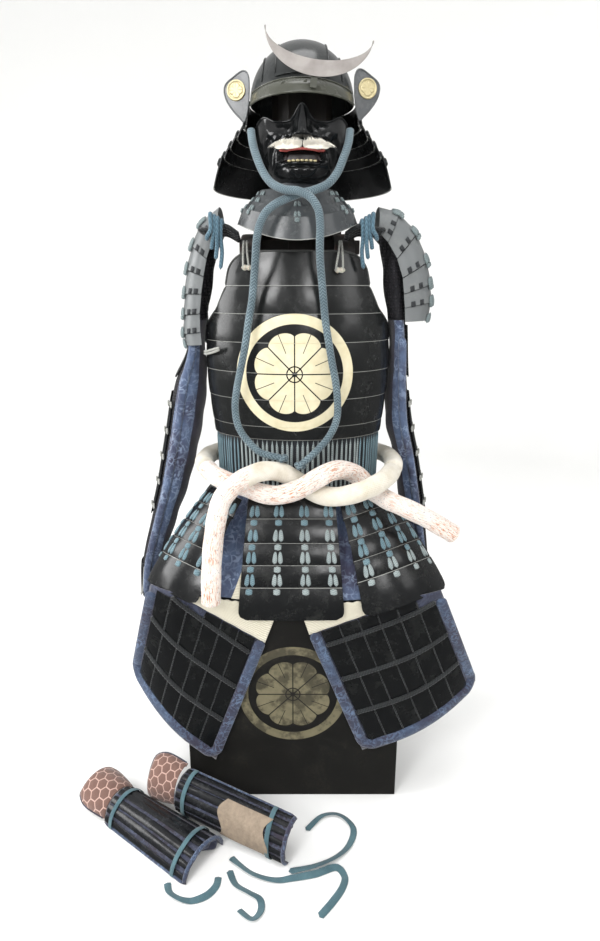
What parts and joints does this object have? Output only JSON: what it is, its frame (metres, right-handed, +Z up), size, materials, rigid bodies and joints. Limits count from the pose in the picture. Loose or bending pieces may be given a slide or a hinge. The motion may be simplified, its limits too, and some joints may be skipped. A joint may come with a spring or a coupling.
{
  "type": "samurai armour on its storage chest",
  "caption": "Black lacquered suit of armour with helmet, face mask, laced skirts, rope belt and crescent, set up on a wooden storage chest with its shin guards laid in front.",
  "frame": {"origin": "centre of the storage chest's underside, on the ground", "axes": "+Z up, front towards -Y, +X to the viewer's right as seen from the front"},
  "size_m": [0.9298, 0.7697, 1.6084],
  "materials": {
    "chest_wood": "aged dark lacquer, dusty",
    "stand_wood": "dark stained",
    "black_lacquer": "polished black lacquer over iron and leather plates",
    "grey_lacquer": "satin grey lacquer",
    "strap_leather": "brown, satin",
    "toggle_cord": "white cord",
    "silk_lacing": "light blue-grey braid",
    "tie_tape": "teal cotton tape",
    "belt_cotton": "off-white padded cotton",
    "brocade": "blue and purple scroll brocade",
    "hexagon_cloth": "quilted brown cloth with a hexagon pattern",
    "silvered_metal": "dull silvered plate",
    "moustache_hair": "pale hair"
  },
  "bodies": {
    "armour": {"belt_plain_strand": "belt_cotton", "belt_roll": "belt_cotton", "belt_woven_strand": "belt_cotton", "breast_plate": "black_lacquer", "chest_body": "chest_wood", "chest_lid": "chest_wood", "chin_cord_left": "silk_lacing", "chin_cord_right": "silk_lacing", "crest_socket": "black_lacquer", "cuirass_back": "black_lacquer", "cuirass_front": "black_lacquer", "helmet_bowl": "black_lacquer", "helmet_top_plate": "black_lacquer", "helmet_visor": "black_lacquer", "knee_pad_left": "hexagon_cloth", "knee_pad_right": "hexagon_cloth", "mask_face": "black_lacquer", "mask_moustache": "moustache_hair", "neck_guard_1": "black_lacquer", "neck_guard_2": "black_lacquer", "neck_guard_3": "black_lacquer", "neck_guard_4": "black_lacquer", "neck_guard_5": "black_lacquer", "shin_guard_left": "black_lacquer", "shin_guard_right": "black_lacquer", "shin_tape_left_end": "tie_tape", "shin_tape_left_loop": "tie_tape", "shin_tape_middle_end": "tie_tape", "shin_tape_right_loop": "tie_tape", "shoulder_guard_left": "grey_lacquer", "shoulder_guard_right": "grey_lacquer", "shoulder_strap_left": "strap_leather", "shoulder_strap_right": "strap_leather", "sleeve_left": "brocade", "sleeve_right": "brocade", "stand_frame": "stand_wood", "stand_head": "stand_wood", "tasset_back_left": "black_lacquer", "tasset_back_right": "black_lacquer", "tasset_front": "black_lacquer", "tasset_front_left": "black_lacquer", "tasset_front_right": "black_lacquer", "tasset_side_left": "black_lacquer", "tasset_side_right": "black_lacquer", "thigh_apron": "brocade", "thigh_guard_left": "brocade", "thigh_guard_right": "brocade", "throat_lame_1": "grey_lacquer", "throat_lame_2": "grey_lacquer", "throat_lame_3": "grey_lacquer", "throat_lame_4": "grey_lacquer", "toggle_left": "toggle_cord", "toggle_right": "toggle_cord", "turnback_left": "black_lacquer", "turnback_right": "black_lacquer", "waist_lacing": "silk_lacing"},
    "crest": {"crest_crescent": "silvered_metal"}
  },
  "joints": [
    {"name": "crest_lift", "type": "slide", "parent": "armour", "child": "crest", "axis": [0.127, 0, 0.9919], "range_m": [0, 0.03]}
  ]
}
